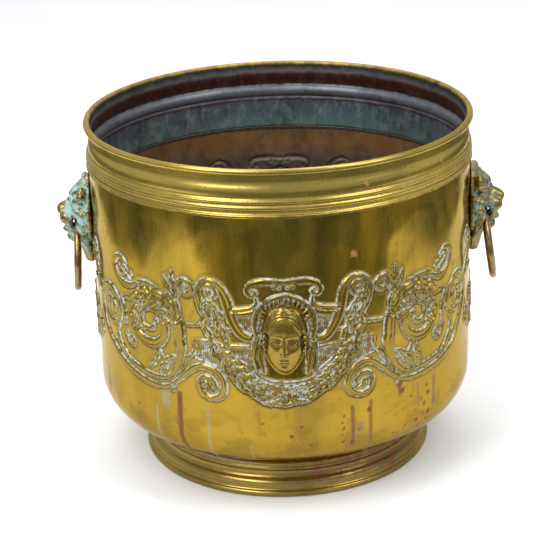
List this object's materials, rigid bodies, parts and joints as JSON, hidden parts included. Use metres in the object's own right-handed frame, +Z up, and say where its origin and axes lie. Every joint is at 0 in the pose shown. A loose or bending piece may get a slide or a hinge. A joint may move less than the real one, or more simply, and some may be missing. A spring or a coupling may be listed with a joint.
{
  "type": "planter pot",
  "caption": "Round brass planter pot with a hollow-necked collar, embossed scroll frieze, spun foot ring and lion-mask drop-ring handles.",
  "frame": {"origin": "on the pot's vertical axis, in the plane that the foot ring stands on", "axes": "+Z up along the pot's axis; +X through the right-hand lion mask; -Y is the front, with the head of the frieze"},
  "size_m": [0.391, 0.3318, 0.3055],
  "materials": {
    "sheet_brass": "polished, with patina",
    "collar_brass": "polished, with patina",
    "foot_brass": "dull polished, tarnished",
    "cast_brass": "cast, verdigris in the hollows",
    "ring_brass": "worn, bronze brown",
    "fixing_brass": "dull",
    "edge_wire": "dull, oxidised",
    "solder": "dull grey"
  },
  "bodies": {
    "pot": {"pot_body": "sheet_brass", "rim_collar": "collar_brass", "rim_wire": "edge_wire", "foot_ring": "foot_brass", "collar_solder": "solder", "foot_solder": "solder", "lion_mask_left": "cast_brass", "lion_mask_right": "cast_brass", "mask_stud_left_upper": "fixing_brass", "mask_washer_left_upper": "fixing_brass", "mask_nut_left_upper": "fixing_brass", "mask_stud_left_lower": "fixing_brass", "mask_washer_left_lower": "fixing_brass", "mask_nut_left_lower": "fixing_brass", "mask_stud_right_upper": "fixing_brass", "mask_washer_right_upper": "fixing_brass", "mask_nut_right_upper": "fixing_brass", "mask_stud_right_lower": "fixing_brass", "mask_washer_right_lower": "fixing_brass", "mask_nut_right_lower": "fixing_brass"},
    "left_ring": {"drop_ring_left": "ring_brass"},
    "right_ring": {"drop_ring_right": "ring_brass"}
  },
  "joints": [
    {"name": "left_ring_swing", "type": "hinge", "parent": "pot", "child": "left_ring", "pos_m": [-0.1776, 0, 0.2095], "axis": [0, 1, 0], "range_deg": [-11, 156.5]},
    {"name": "right_ring_swing", "type": "hinge", "parent": "pot", "child": "right_ring", "pos_m": [0.1776, 0, 0.2095], "axis": [0, -1, 0], "range_deg": [-15.7, 151.8]}
  ]
}
